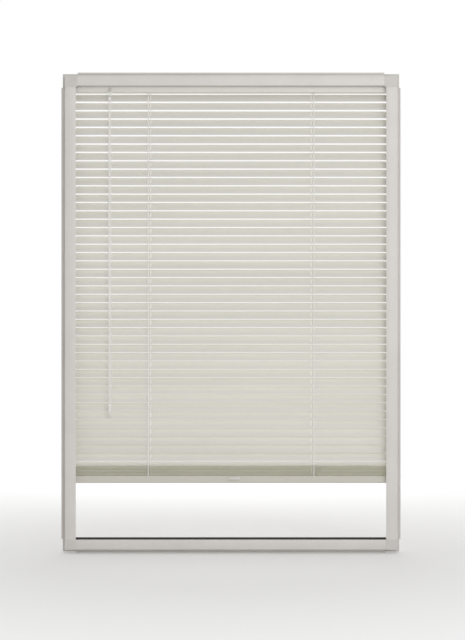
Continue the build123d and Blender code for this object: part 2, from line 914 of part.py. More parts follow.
def rail_end_cap():
    outer = rail_half + rail_cap_plate
    cap = rail_solid(0, rail_half, outer)
    cap += rail_solid(rail_wall + rail_cap_clearance, rail_half - rail_cap_spigot, rail_half)
    middle = rail_edge_z - rail_height / 2
    slot_front = -guide_slot_back - guide_slot_width
    return cap + slab(
        outer,
        guide_half + glide_reach,
        slot_front + glide_clearance,
        -guide_slot_back - glide_clearance,
        middle - glide_height / 2,
        middle + glide_height / 2,
    )


def bottom_rail_fittings():
    return both_sides(rail_end_cap()) + [pull_tab()]


def save(name, solids):
    export_step(Compound(children=[s.solid() for s in solids], label=name), f"parts/{name}.step")


os.makedirs("parts", exist_ok=True)
save("frame_profiles", frame_profiles())
save("seal_strip", seal_strip())
save("corner_blocks", corner_blocks())
save("window_clips", window_clips())
save("headrail", headrail())
save("headrail_fittings", headrail_fittings())
save("lift_spring_unit", lift_spring_unit())
save("tilt_rod", tilt_rod())
save("tilter_gear", tilter_gear())
save("ladder_drums", ladder_drums())
save("tilter_worm", tilter_worm())
save("tilt_wand", tilt_wand())
save("cords", cords())
save("bottom_rail", bottom_rail())
save("bottom_rail_fittings", bottom_rail_fittings())
slat_blank = flat_slat()
save("slat_stack", slat_stack(slat_blank))
for slat_number in range(hanging_slats):
    save(f"slat_{slat_number + 1:02d}", [hung_slat(slat_blank, slat_number)])
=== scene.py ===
import bpy
import bmesh
from math import asin, cos, pi, radians, sin, sqrt
from mathutils import Matrix, Vector


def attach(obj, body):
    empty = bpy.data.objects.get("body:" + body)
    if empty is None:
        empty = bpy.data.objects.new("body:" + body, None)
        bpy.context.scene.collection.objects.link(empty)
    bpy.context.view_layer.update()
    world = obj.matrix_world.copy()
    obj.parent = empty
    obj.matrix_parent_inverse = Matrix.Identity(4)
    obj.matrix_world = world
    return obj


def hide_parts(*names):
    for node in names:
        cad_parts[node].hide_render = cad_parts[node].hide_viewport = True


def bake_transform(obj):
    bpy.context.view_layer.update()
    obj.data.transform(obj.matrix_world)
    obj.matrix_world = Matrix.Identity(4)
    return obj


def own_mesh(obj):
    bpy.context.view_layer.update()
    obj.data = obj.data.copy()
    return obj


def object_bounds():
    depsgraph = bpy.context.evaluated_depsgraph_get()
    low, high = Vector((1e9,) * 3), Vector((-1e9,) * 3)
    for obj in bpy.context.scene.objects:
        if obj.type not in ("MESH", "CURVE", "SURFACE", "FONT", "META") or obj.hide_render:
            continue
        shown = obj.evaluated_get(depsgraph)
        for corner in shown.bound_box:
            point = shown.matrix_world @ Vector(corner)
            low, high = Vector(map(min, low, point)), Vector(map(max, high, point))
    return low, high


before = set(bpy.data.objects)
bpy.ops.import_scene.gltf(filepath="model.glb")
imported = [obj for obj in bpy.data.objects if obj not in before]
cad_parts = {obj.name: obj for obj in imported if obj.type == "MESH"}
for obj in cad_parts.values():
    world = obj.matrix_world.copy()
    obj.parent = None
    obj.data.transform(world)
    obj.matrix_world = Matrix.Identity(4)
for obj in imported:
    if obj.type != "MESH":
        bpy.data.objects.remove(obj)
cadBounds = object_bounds()
print("blind loaded:", len(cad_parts), "solid parts")

# places shared with the solids, in metres
blind = {
    "axisY": -0.014,           # plane through the middles of the slats
    "firstSlatZ": -0.0502,
    "slatPitch": 0.021,
    "slatCount": 44,
    "tilt": 50.2,              # rear edges up, in degrees
    "ladderX": 0.208,
    "stringY": 0.00922,        # strings stand this far before and behind the middle
    "stringChord": 0.0144,
    "liftX": 0.2018,
    "railEdgeZ": -1.0008,
    "rodZ": -0.0265,
}


class Flow:                    # one socket, so that a finish reads as a formula
    def __init__(self, tree, socket=None):
        self.tree = tree
        self.socket = socket

    def node(self, kind, settings=None, sockets=None, output=0):
        made = self.tree.nodes.new(kind)
        for key, value in (settings or {}).items():
            setattr(made, key, value)
        for key, value in (sockets or {}).items():
            if isinstance(value, Flow):
                self.tree.links.new(value.socket, made.inputs[key])
            else:
                made.inputs[key].default_value = value
        return Flow(self.tree, made.outputs[output])

    def maths(self, operation, first, second):
        return self.node("ShaderNodeMath", {"operation": operation}, {0: first, 1: second})

    def __add__(self, other):
        return self.maths("ADD", self, other)

    def __radd__(self, other):
        return self.maths("ADD", other, self)

    def __sub__(self, other):
        return self.maths("SUBTRACT", self, other)

    def __rsub__(self, other):
        return self.maths("SUBTRACT", other, self)

    def __mul__(self, other):
        return self.maths("MULTIPLY", self, other)

    def __rmul__(self, other):
        return self.maths("MULTIPLY", other, self)

    def ramp(self, low, high):
        return self.node("ShaderNodeMapRange", {}, {"Value": self, "From Min": low, "From Max": high})

    def spot(self, scale=(1, 1, 1), turn=(0, 0, 0)):
        place = self.node("ShaderNodeTexCoord", output="Object")
        return self.node("ShaderNodeMapping", {}, {"Vector": place, "Scale": scale, "Rotation": turn})

    def noise(self, size, detail, stretch=(1, 1, 1)):
        sockets = {"Vector": self.spot(stretch), "Scale": 1 / size, "Detail": detail}
        return self.node("ShaderNodeTexNoise", {}, sockets)

    def blend(self, share, first, second):
        colours = [value if isinstance(value, Flow) else (*value, 1) for value in (first, second)]
        sockets = {0: share, 6: colours[0], 7: colours[1]}
        return self.node("ShaderNodeMix", {"data_type": "RGBA"}, sockets, 2)

    def into(self, shader, name):
        self.tree.links.new(self.socket, shader.inputs[name])


def newFinish(name):
    material = bpy.data.materials.new(name)
    material.use_nodes = True
    return material, Flow(material.node_tree), material.node_tree.nodes["Principled BSDF"]


coatLook = {
    "shine": 0.4, "cloudSpan": (0.3, 0.7), "cloudRough": 0.05,
    "grainShare": 0.2, "grainRough": 0.12, "peelDepth": 0.0002,
    "dustSize": 0.012, "dustSpan": (0.58, 0.75), "dustShare": 0.35, "dustRough": 0.2,
}


# painted metal and moulded plastic: cloudy colour, specks of dust and a fine orange peel
def coatedFinish(name, look):
    material, flow, shader = newFinish(name)
    stretch = look.get("stretch", (1, 1, 1))
    cloud = flow.noise(look["cloud"], detail=3.0, stretch=stretch).ramp(*coatLook["cloudSpan"])
    grain = flow.noise(look["grain"], detail=1.0)
    dust = flow.noise(coatLook["dustSize"], detail=4.0).ramp(*coatLook["dustSpan"]) * coatLook["dustShare"]
    share = coatLook["grainShare"]
    paint = flow.blend(cloud * (1 - share) + grain * share, look["dark"], look["light"])
    flow.blend(dust, paint, look["dust"]).into(shader, "Base Color")
    rough = look["rough"] + (grain - 0.5) * coatLook["grainRough"] + (cloud - 0.5) * coatLook["cloudRough"]
    (rough + dust * coatLook["dustRough"]).into(shader, "Roughness")
    sockets = {"Strength": look["peel"], "Distance": coatLook["peelDepth"], "Height": grain}
    flow.node("ShaderNodeBump", {}, sockets).into(shader, "Normal")
    shader.inputs["Metallic"].default_value = look.get("metal", 0.0)
    shader.inputs["Specular IOR Level"].default_value = look.get("shine", coatLook["shine"])
    return material


finishLooks = {
    "frame": {
        "light": (0.745, 0.715, 0.685), "dark": (0.695, 0.665, 0.635), "dust": (0.66, 0.63, 0.59),
        "cloud": 0.09, "grain": 0.0009, "rough": 0.38, "peel": 0.10,
    },
    "corner": {
        "light": (0.665, 0.645, 0.615), "dark": (0.615, 0.595, 0.565), "dust": (0.58, 0.56, 0.525),
        "cloud": 0.03, "grain": 0.0006, "rough": 0.5, "peel": 0.22,
    },
    "headrail": {
        "light": (0.76, 0.745, 0.70), "dark": (0.71, 0.695, 0.65), "dust": (0.68, 0.66, 0.61),
        "cloud": 0.07, "grain": 0.0008, "rough": 0.36, "peel": 0.10, "stretch": (0.2, 1, 1),
    },
    "slat": {
        "light": (0.755, 0.74, 0.69), "dark": (0.71, 0.695, 0.64), "dust": (0.68, 0.665, 0.60),
        "cloud": 0.05, "grain": 0.0007, "rough": 0.34, "peel": 0.07, "stretch": (0.06, 1, 1),
    },
    # stacked slats: the slat paint made brighter and yellower, painted light that lifts the shade between the
    # close-packed slats
    "stackPaintedLight": {
        "light": (0.93, 0.915, 0.82), "dark": (0.89, 0.875, 0.77), "dust": (0.83, 0.81, 0.72),
        "cloud": 0.05, "grain": 0.0007, "rough": 0.36, "peel": 0.07, "stretch": (0.06, 1, 1),
    },
    "rail": {
        "light": (0.66, 0.635, 0.57), "dark": (0.61, 0.585, 0.525), "dust": (0.57, 0.545, 0.48),
        "cloud": 0.06, "grain": 0.0008, "rough": 0.4, "peel": 0.10, "stretch": (0.15, 1, 1),
    },
    "fitting": {
        "light": (0.74, 0.725, 0.69), "dark": (0.69, 0.67, 0.635), "dust": (0.64, 0.62, 0.58),
        "cloud": 0.02, "grain": 0.0005, "rough": 0.45, "peel": 0.2,
    },
    "gear": {
        "light": (0.74, 0.73, 0.69), "dark": (0.66, 0.65, 0.61), "dust": (0.58, 0.56, 0.52),
        "cloud": 0.01, "grain": 0.0004, "rough": 0.42, "peel": 0.15,
    },
    "rod": {
        "light": (0.62, 0.62, 0.61), "dark": (0.5, 0.5, 0.49), "dust": (0.45, 0.44, 0.42),
        "cloud": 0.02, "grain": 0.0004, "rough": 0.3, "peel": 0.1, "metal": 0.9, "stretch": (0.05, 1, 1),
    },
    "seal": {
        "light": (0.024, 0.023, 0.022), "dark": (0.014, 0.014, 0.013), "dust": (0.05, 0.048, 0.045),
        "cloud": 0.03, "grain": 0.0005, "rough": 0.75, "peel": 0.35, "shine": 0.15,
    },
}
finishes = {name: coatedFinish(name + "Finish", look) for name, look in finishLooks.items()}


# braided polyester: two sets of slanting yarns raised against each other
def cordFinish(name, look):
    material, flow, shader = newFinish(name)
    yarns = []
    for turn in (look["slant"], -look["slant"]):
        sockets = {"Vector": flow.spot((1, 1, 1), (0, turn, 0)), "Scale": look["yarns"]}
        yarns.append(flow.node("ShaderNodeTexWave", {"bands_direction": "Z"}, sockets, 1))
    weave = yarns[0] * 0.5 + yarns[1] * 0.5
    fuzz = flow.noise(look["fuzzSize"], detail=3.0)
    share = look["fuzzShare"]
    flow.blend(weave * (1 - share) + fuzz * share, look["dark"], look["light"]).into(shader, "Base Color")
    (look["rough"] + fuzz * look["fuzzRough"]).into(shader, "Roughness")
    sockets = {"Strength": look["bump"], "Distance": look["bumpDepth"], "Height": weave + fuzz * share}
    flow.node("ShaderNodeBump", {}, sockets).into(shader, "Normal")
    shader.inputs["Sheen Weight"].default_value = look["sheen"]
    return material


cordLook = {"light": (0.95, 0.94, 0.91), "dark": (0.88, 0.865, 0.83), "slant": radians(40), "yarns": 180.0,
            "fuzzSize": 0.0006, "fuzzShare": 0.3, "fuzzRough": 0.2,
            "rough": 0.75, "bump": 0.35, "bumpDepth": 0.0002, "sheen": 0.2}
finishes["cord"] = cordFinish("cordFinish", cordLook)

hazeLook = {"size": 0.01, "stretch": (1, 1, 0.15), "rough": 0.12, "bump": 0.04, "bumpDepth": 0.0001}


# clear moulded acrylic with faint flow lines and handling haze
def clearFinish(name, look):
    material, flow, shader = newFinish(name)
    haze = flow.noise(hazeLook["size"], detail=3.0, stretch=hazeLook["stretch"])
    flow.blend(haze, look["tint"], look["light"]).into(shader, "Base Color")
    (look["rough"] + haze * hazeLook["rough"]).into(shader, "Roughness")
    sockets = {"Strength": hazeLook["bump"], "Distance": hazeLook["bumpDepth"], "Height": haze}
    flow.node("ShaderNodeBump", {}, sockets).into(shader, "Normal")
    shader.inputs["Transmission Weight"].default_value = look["clear"]
    shader.inputs["IOR"].default_value = look["bend"]
    shader.inputs["Coat Weight"].default_value = look["gloss"]
    shader.inputs["Alpha"].default_value = look["body"]
    return material


clearLook = {"light": (0.97, 0.97, 0.96), "tint": (0.93, 0.93, 0.92), "rough": 0.05, "clear": 0.4,
             "bend": 1.15, "gloss": 0.6, "body": 0.6}
finishes["clear"] = clearFinish("clearFinish", clearLook)
frostedLook = {"light": (0.94, 0.935, 0.92), "tint": (0.89, 0.885, 0.87), "rough": 0.2, "clear": 0.12,
               "bend": 1.3, "gloss": 0.3, "body": 1.0}
finishes["frosted"] = clearFinish("frostedFinish", frostedLook)
print("finishes made:", len(finishes))

meshLook = {"mergeGap": 1e-6, "hair": 1e-5, "flatAngle": radians(0.5),
            "sharpAngle": radians(40), "longEdge": 0.1}


def deselect():
    bpy.ops.object.select_all(action="DESELECT")


def makeActive(piece):
    deselect()
    piece.select_set(True)
    bpy.context.view_layer.objects.active = piece


def startEdit(piece):
    makeActive(piece)
    bpy.ops.object.mode_set(mode="EDIT")
    bpy.ops.mesh.select_mode(type="VERT")
    bpy.ops.mesh.select_all(action="SELECT")


def endEdit():
    bpy.ops.object.mode_set(mode="OBJECT")


def pick(piece, test):         # in edit mode, selects the points that pass
    bpy.ops.mesh.select_all(action="DESELECT")
    shape = bmesh.from_edit_mesh(piece.data)
    for point in shape.verts:
        point.select_set(test(point.co))
    shape.select_flush(True)
    bmesh.update_edit_mesh(piece.data)


def turnX(degrees, centre=(0, 0, 0)):
    bpy.ops.transform.rotate(value=-radians(degrees), orient_axis="X", center_override=centre)


def shift(x, y, z):
    bpy.ops.transform.translate(value=(x, y, z))


def started(name):             # names the primitive just added and opens it for editing
    piece = bpy.context.object
    piece.name = name
    piece.data.name = name
    startEdit(piece)
    return piece


def addModifier(piece, kind, **settings):
    made = piece.modifiers.new(kind.lower(), kind)
    for key, value in settings.items():
        setattr(made, key, value)
    makeActive(piece)
    bpy.ops.object.modifier_apply(modifier=made.name)


def smooth(piece, degrees=35):
    makeActive(piece)
    bpy.ops.object.shade_smooth_by_angle(angle=radians(degrees))


def tidyMesh(piece):
    startEdit(piece)
    bpy.ops.mesh.remove_doubles(threshold=meshLook["mergeGap"])
    bpy.ops.mesh.normals_make_consistent(inside=False)
    endEdit()


def useFinish(piece, name):
    piece.data.materials.clear()
    piece.data.materials.append(finishes[name])


def finished(piece, finish, slot, body=None, *nodes):
    useFinish(piece, finish)
    if body:
        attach(piece, body)
    if nodes:
        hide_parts(*nodes)
    return piece


def copied(piece, name, x=0.0, y=0.0, z=0.0):
    made = bpy.data.objects.new(name, piece.data.copy())
    made.data.name = name
    made.data.transform(Matrix.Translation((x, y, z)))
    bpy.context.collection.objects.link(made)
    return made


def joined(pieces, name):
    makeActive(pieces[0])
    for piece in pieces[1:]:
        piece.select_set(True)
    bpy.ops.object.join()
    pieces[0].name = name
    pieces[0].data.name = name
    return pieces[0]


# a piece turned about an upright axis: a disc drawn down ring by ring
def turned(name, rings, x, y, sides=24):
    deselect()
    bpy.ops.mesh.primitive_circle_add(vertices=sides, radius=rings[0][0], fill_type="NGON")
    piece = started(name)
    shift(0, 0, rings[0][1])
    for (lastRadius, lastZ), (radius, z) in zip(rings, rings[1:]):
        bpy.ops.mesh.extrude_region_move(TRANSFORM_OT_translate={"value": (0, 0, z - lastZ)})
        size = radius / lastRadius
        bpy.ops.transform.resize(value=(size, size, 1), center_override=(0, 0, z))
    bpy.ops.mesh.select_all(action="SELECT")
    shift(x, y, 0)
    endEdit()
    tidyMesh(piece)
    smooth(piece)
    return piece


# a bent wire or cord through smooth control points
def bent(name, points, radius, sides=2):
    curve = bpy.data.curves.new(name, "CURVE")
    curve.dimensions = "3D"
    curve.bevel_depth = radius
    curve.bevel_resolution = sides
    curve.use_fill_caps = True
    line = curve.splines.new("NURBS")
    line.points.add(len(points) - 1)
    for point, place in zip(line.points, points):
        point.co = (*place, 1)
    line.order_u = 3
    line.use_endpoint_u = True
    line.resolution_u = 6
    piece = bpy.data.objects.new(name, curve)
    bpy.context.collection.objects.link(piece)
    makeActive(piece)
    bpy.ops.object.convert(target="MESH")
    piece = bpy.context.object
    tidyMesh(piece)
    smooth(piece, degrees=50)
    return piece


# the camera stands where the photograph was taken from
shot = {"place": (0.0038, -3.514, -0.6085), "lens": 78.2, "sensor": 36}
lensData = bpy.data.cameras.new("roomCamera")
roomCamera = bpy.data.objects.new("roomCamera", lensData)
bpy.context.collection.objects.link(roomCamera)
roomCamera.location = shot["place"]
roomCamera.rotation_euler = (radians(90), 0, 0)
lensData.sensor_fit = "VERTICAL"
lensData.sensor_height = shot["sensor"]
lensData.lens = shot["lens"]
bpy.context.scene.camera = roomCamera

coverLook = {"innerX": 0.3878, "backY": -0.03839, "frontY": -0.0395}


# the front covers touch the side profiles, so the two are merged one after the other and stay apart
def mergeCovers(piece):
    bpy.ops.mesh.select_mode(type="FACE")
    shape = bmesh.from_edit_mesh(piece.data)
    for face in shape.faces:
        places = [point.co for point in face.verts]
        front = all(abs(at.x) > coverLook["innerX"] and at.y < coverLook["backY"] for at in places)
        seat = face.normal.y < -0.5 and face.calc_center_median().y > coverLook["frontY"]
        face.select_set(front and not seat)
    bmesh.update_edit_mesh(piece.data)
    bpy.ops.mesh.remove_doubles(threshold=meshLook["mergeGap"])
    bpy.ops.mesh.select_all(action="INVERT")
    bpy.ops.mesh.remove_doubles(threshold=meshLook["mergeGap"])
    bpy.ops.mesh.select_mode(type="VERT")
    bpy.ops.mesh.select_all(action="SELECT")


edgeWidths = {"frame_profiles": 0.0005, "corner_blocks": 0.0005, "headrail": 0.00025, "seal_strip": 0.0006,
              "bottom_rail": 0.0003, "bottom_rail_fittings": 0.0005, "window_clips": 0.0003}


# a folded or moulded part with its sharp edges broken, in place of the plain solid
def softened(node, name, finish, slot, body, longest=False, merge=None):
    piece = copied(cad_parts[node], name)
    makeActive(piece)
    bpy.ops.mesh.customdata_custom_splitnormals_clear()
    startEdit(piece)
    if merge:
        merge(piece)
    else:
        bpy.ops.mesh.remove_doubles(threshold=meshLook["mergeGap"])
    bpy.ops.mesh.dissolve_limited(angle_limit=meshLook["flatAngle"])
    if longest:                # only the edges along the length
        bpy.ops.mesh.select_mode(type="EDGE")
        bpy.ops.mesh.select_all(action="DESELECT")
        shape = bmesh.from_edit_mesh(piece.data)
        for line in shape.edges:
            sharp = len(line.link_faces) == 2 and line.calc_face_angle() > meshLook["sharpAngle"]
            line.select_set(sharp and line.calc_length() > meshLook["longEdge"])
        bmesh.update_edit_mesh(piece.data)
        bpy.ops.transform.edge_bevelweight(value=1.0)
    endEdit()
    width = edgeWidths[node]
    if longest:
        addModifier(piece, "BEVEL", width=width, segments=2, limit_method="WEIGHT", use_clamp_overlap=False)
    else:
        addModifier(piece, "BEVEL", width=width, segments=2, limit_method="ANGLE",
                    angle_limit=meshLook["sharpAngle"])
    smooth(piece)
    return finished(piece, finish, slot, body, node)


softened("frame_profiles", "frameProfiles", "frame", "frame_plastic", "frame",
         longest=True, merge=mergeCovers)
softened("corner_blocks", "cornerBlocks", "corner", "corner_plastic", "frame")
softened("headrail", "headrailChannel", "headrail", "headrail_paint", "frame", longest=True)
softened("seal_strip", "sealStrip", "seal", "seal_rubber", "frame")
softened("bottom_rail", "bottomRail", "rail", "rail_paint", "lift_rail", longest=True)
softened("bottom_rail_fittings", "railFittings", "fitting", "fitting_plastic", "lift_rail")
softened("window_clips", "windowClips", "fitting", "clip_plastic", "frame")
print("frame, headrail and bottom rail softened")

for node, finish in (("headrail_fittings", "fitting"), ("lift_spring_unit", "fitting"), ("tilt_rod", "rod"),
                     ("tilter_gear", "gear"), ("ladder_drums", "gear"), ("tilter_worm", "gear")):
    useFinish(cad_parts[node], finish)

slatLook = {"half": 0.0125, "camber": 0.0018, "length": 0.783, "thickness": 0.0003, "steps": 6, "seed": 0.002,
            "corner": 0.0039, "cornerSteps": 4,
            "slotLength": 0.0146, "slotWidth": 0.0018, "slotDepth": 0.012, "slotRound": 0.48, "slotSteps": 3}


# an edge along the blind, spun about the axis of the camber and closed up to its thickness
def curvedStrip(name, length, half, radius, centreZ, steps):
    deselect()
    bpy.ops.mesh.primitive_plane_add(size=1)
    strip = started(name)
    seed = slatLook["seed"]
    bpy.ops.transform.resize(value=(length, seed, 1))
    edgeZ = centreZ + sqrt(radius**2 - half**2)
    shift(0, -half - seed / 2, edgeZ)
    pick(strip, lambda at: at.y < -half - seed / 2)
    bpy.ops.mesh.delete(type="VERT")
    bpy.ops.mesh.select_all(action="SELECT")
    bpy.ops.mesh.spin(steps=steps, angle=2 * asin(half / radius), center=(0, 0, centreZ), axis=(1, 0, 0))
    return strip


def makeSlat(look):
    half = look["half"]
    radius = (half**2 + look["camber"]**2) / (2 * look["camber"])
    slat = curvedStrip("slatBlank", look["length"], half, radius, look["camber"] - radius, look["steps"])
    hair = meshLook["hair"]
    pick(slat, lambda at: abs(at.x) > look["length"] / 2 - hair and abs(at.y) > half - hair)
    bpy.ops.mesh.bevel(offset=look["corner"], offset_type="OFFSET", segments=look["cornerSteps"],
                       affect="VERTICES")
    bpy.ops.mesh.select_all(action="SELECT")
    bpy.ops.mesh.normals_make_consistent(inside=False)
    endEdit()
    ups = sum(face.normal.z for face in slat.data.polygons)
    if ups < 0:
        startEdit(slat)
        bpy.ops.mesh.flip_normals()
        endEdit()
    addModifier(slat, "SOLIDIFY", thickness=look["thickness"], offset=1)
    cutters = []
    for side in (-1, 1):
        deselect()
        bpy.ops.mesh.primitive_cube_add(size=1)
        cutter = started("slotCutter")
        bpy.ops.transform.resize(value=(look["slotWidth"], look["slotLength"], look["slotDepth"]))
        bpy.ops.mesh.select_mode(type="EDGE")
        bpy.ops.mesh.select_all(action="DESELECT")
        shape = bmesh.from_edit_mesh(cutter.data)
        for line in shape.edges:
            line.select_set(abs(line.verts[0].co.z - line.verts[1].co.z) > look["slotDepth"] / 2)
        bmesh.update_edit_mesh(cutter.data)
        bpy.ops.mesh.bevel(offset=look["slotWidth"] * look["slotRound"], segments=look["slotSteps"])
        bpy.ops.mesh.select_all(action="SELECT")
        shift(side * blind["liftX"], 0, 0)
        endEdit()
        cutters.append(cutter)
    cutter = joined(cutters, "slotCutters")
    addModifier(slat, "BOOLEAN", object=cutter, operation="DIFFERENCE", solver="EXACT")
    bpy.data.objects.remove(cutter)
    smooth(slat, degrees=30)
    return slat


flatSlat = makeSlat(slatLook)
hungSlat = copied(flatSlat, "hungSlat")
startEdit(hungSlat)
turnX(blind["tilt"])
shift(0, blind["axisY"], blind["firstSlatZ"])
endEdit()
rear = max(hungSlat.data.vertices, key=lambda point: point.co.y).co
print("rear edge of the first slat above its middle, mm:", round((rear.z - blind["firstSlatZ"]) * 1000, 2))

rungLook = {"width": 0.0015, "thickness": 0.0006, "below": 0.0002, "past": 0.0003, "steps": 6, "edge": 0.0002}


# the rung that carries a slat runs under it from the front string to the rear string
def makeRung(look):
    half = blind["stringChord"] + look["past"]
    radius = (slatLook["half"]**2 + slatLook["camber"]**2) / (2 * slatLook["camber"])
    rungs = []
    for side in (-1, 1):
        rung = curvedStrip("rung", look["width"], half, radius - look["below"] - look["thickness"],
                           slatLook["camber"] - radius, look["steps"])
        bpy.ops.mesh.select_all(action="SELECT")
        bpy.ops.mesh.normals_make_consistent(inside=False)
        shift(side * blind["ladderX"], 0, 0)
        turnX(blind["tilt"])
        shift(0, blind["axisY"], blind["firstSlatZ"])
        endEdit()
        addModifier(rung, "SOLIDIFY", thickness=look["thickness"], offset=0)
        addModifier(rung, "BEVEL", width=look["edge"], segments=1, limit_method="ANGLE",
                    angle_limit=meshLook["sharpAngle"])
        tidyMesh(rung)
        smooth(rung, degrees=40)
        rungs.append(rung)
    return joined(rungs, "rungPair")


rungPair = makeRung(rungLook)
for index in range(blind["slatCount"]):
    number = f"{index + 1:02d}"
    drop = -index * blind["slatPitch"]
    slat = copied(hungSlat, "blindSlat" + number, z=drop)
    finished(slat, "slat", "slat_paint", "slat_" + number, "slat_" + number)
    rungs = copied(rungPair, "ladderRungs" + number, z=drop)
    finished(rungs, "cord", "cord", "slat_" + number)
bpy.data.objects.remove(hungSlat)
bpy.data.objects.remove(rungPair)
print("slats hung:", blind["slatCount"])

stackLook = {"count": 9, "pitch": 0.00362, "lifted": 14.0}
stackTop = blind["railEdgeZ"] + (stackLook["count"] - 1) * stackLook["pitch"]
for level in range(stackLook["count"]):
    rise = blind["railEdgeZ"] + level * stackLook["pitch"]
    slat = copied(flatSlat, f"stackSlat{level + 1}", y=blind["axisY"], z=rise)
    last = level == stackLook["count"] - 1
    if last:                   # held up at the back by the ladder
        startEdit(slat)
        turnX(stackLook["lifted"], (0, blind["axisY"] - slatLook["half"], rise))
        endEdit()
    # the slats lower in the stack take the brighter copy of the slat paint, painted light against their
    # shade; the lifted top one keeps the plain slat paint
    finished(slat, "slat" if last else "stackPaintedLight", "slat_paint", "lift_rail", "slat_stack")
bpy.data.objects.remove(flatSlat)
print("slats stacked:", stackLook["count"])

foldLook = {"width": 0.003, "half": 0.0115, "steps": 5, "thickness": 0.0007,
            "layers": ((0.0009, -0.0003), (0.0019, 0.0), (0.0029, 0.0003))}  # height and shift of each fold


# folded rungs between the stacked slats
def makeFolds(look):
    camber = slatLook["camber"]
    radius = (slatLook["half"]**2 + camber**2) / (2 * camber)
    folds = []
    for side in (-1, 1):
        for level in range(stackLook["count"] - 1):
            for rise, aside in look["layers"]:
                fold = curvedStrip("fold", look["width"], look["half"], radius + rise,
                                   camber - radius, look["steps"])
                bpy.ops.mesh.select_all(action="SELECT")
                shift(side * blind["ladderX"] + aside, blind["axisY"],
                      blind["railEdgeZ"] + level * stackLook["pitch"])
                endEdit()
                addModifier(fold, "SOLIDIFY", thickness=look["thickness"], offset=0)
                folds.append(fold)
    return joined(folds, "foldedRungs")


folds = makeFolds(foldLook)
tidyMesh(folds)
smooth(folds, degrees=40)
finished(folds, "cord", "cord", "lift_rail")

stringLook = {"width": 0.0010, "depth": 0.0005, "sides": 8,
              "knot": 1.25, "knotHeight": 0.0012, "knotSlope": 0.0006,
              "tailSteps": 6, "tailStart": 0.0025}


# one pitch of a braided string, thickened where the rung is woven in, repeated down the ladder
def makeString(name, y, knotZ, top, low, look):
    pitch = blind["slatPitch"]
    deselect()
    bpy.ops.mesh.primitive_circle_add(vertices=look["sides"], radius=1, fill_type="NOTHING")
    string = started(name)
    bpy.ops.transform.resize(value=(look["width"], look["depth"], 1))
    shift(0, y, knotZ + pitch / 2)
    knot, height, slope = look["knot"], look["knotHeight"], look["knotSlope"]
    plain = pitch / 2 - height / 2 - slope
    for drop, grow in ((plain, 1.0), (slope, knot), (height, 1.0), (slope, 1 / knot), (plain, 1.0)):
        bpy.ops.mesh.extrude_region_move(TRANSFORM_OT_translate={"value": (0, 0, -drop)})
        if grow != 1.0:
            bpy.ops.transform.resize(value=(grow, grow, 1))
    endEdit()
    hair = meshLook["hair"]
    addModifier(string, "ARRAY", count=blind["slatCount"],
                use_relative_offset=False, use_constant_offset=True, constant_offset_displace=(0, 0, -pitch),
                use_merge_vertices=True, merge_threshold=hair)
    startEdit(string)
    highest = max(point.co.z for point in string.data.vertices)
    lowest = min(point.co.z for point in string.data.vertices)
    for level, end in ((highest, top), (lowest, low)):
        pick(string, lambda at: abs(at.z - level) < hair)
        shift(0, 0, end - level)
        bpy.ops.mesh.edge_face_add()
    endEdit()
    tidyMesh(string)
    smooth(string, degrees=50)
    return string


# a short end of string from the last hung slat down to the lifted stack slat
def makeTail(name, x, y, top, low, look):
    deselect()
    bpy.ops.mesh.primitive_circle_add(vertices=look["sides"], radius=1, fill_type="NGON")
    tail = started(name)
    bpy.ops.transform.resize(value=(look["width"], look["depth"], 1))
    shift(x, y, top)
    for step in range(look["tailSteps"]):
        drop = (low - top) / look["tailSteps"]
        bpy.ops.mesh.extrude_region_move(TRANSFORM_OT_translate={"value": (0, 0, drop)})
    endEdit()
    tidyMesh(tail)
    smooth(tail, degrees=50)
    finished(tail, "cord", "cord", None, "cords")
    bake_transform(tail)


loopLook = {"radius": 0.0006, "out": 0.0016, "gap": 0.0004, "tuck": 0.001, "lean": 0.0004, "tail": 0.0022}


# slack string laid in small loops before or behind the stacked slats, down to the rail
def makeLoops(name, x, way, top, look):
    edge = slatLook["half"] + look["gap"]
    tuck = look["tuck"]
    y = blind["axisY"]
    points = [(x, y + way * blind["stringY"], top), (x, y + way * (edge - tuck), top - tuck * (1 - way))]
    z = stackTop
    while z > blind["railEdgeZ"] - tuck:
        points.append((x, y + way * edge, z))
        points.append((x + look["lean"], y + way * (edge + look["out"]), z - stackLook["pitch"] / 2))
        z -= stackLook["pitch"]
    points.append((x, y + way * edge, blind["railEdgeZ"] - look["tail"]))
    return bent(name, points, look["radius"])


reach = blind["stringChord"] * sin(radians(blind["tilt"]))
lastZ = blind["firstSlatZ"] - (blind["slatCount"] - 1) * blind["slatPitch"]
stringEnds = {-1: -0.9696, 1: -0.9654}          # where the strings meet the lifted slat
for side, word in ((-1, "Left"), (1, "Right")):
    x = side * blind["ladderX"]
    for way, place in ((-1, "Front"), (1, "Rear")):
        y = blind["axisY"] + way * blind["stringY"]
        tailTop = lastZ + way * reach - stringLook["tailStart"]
        knotZ = blind["firstSlatZ"] + way * reach
        string = makeString("ladder" + place + word, y, knotZ, blind["rodZ"], tailTop, stringLook)
        startEdit(string)
        shift(x, 0, 0)
        endEdit()
        finished(string, "cord", "cord", "frame", "cords")
        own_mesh(string)
        makeTail("ladderTail" + place + word, x, y, tailTop, stringEnds[way], stringLook)
        loops = makeLoops("ladderLoops" + place + word, x, way, stringEnds[way], loopLook)
        finished(loops, "cord", "cord", "lift_rail")
print("ladders strung")

liftLook = {"radius": 0.00055, "sides": 6, "lobe": 1.3, "turns": 120, "steps": 6,
            "top": -0.0336, "low": -1.0003,
            "run": 0.010, "runRadius": 0.0006, "runStart": 0.002, "runBend": 0.01, "unitX": 0.240}


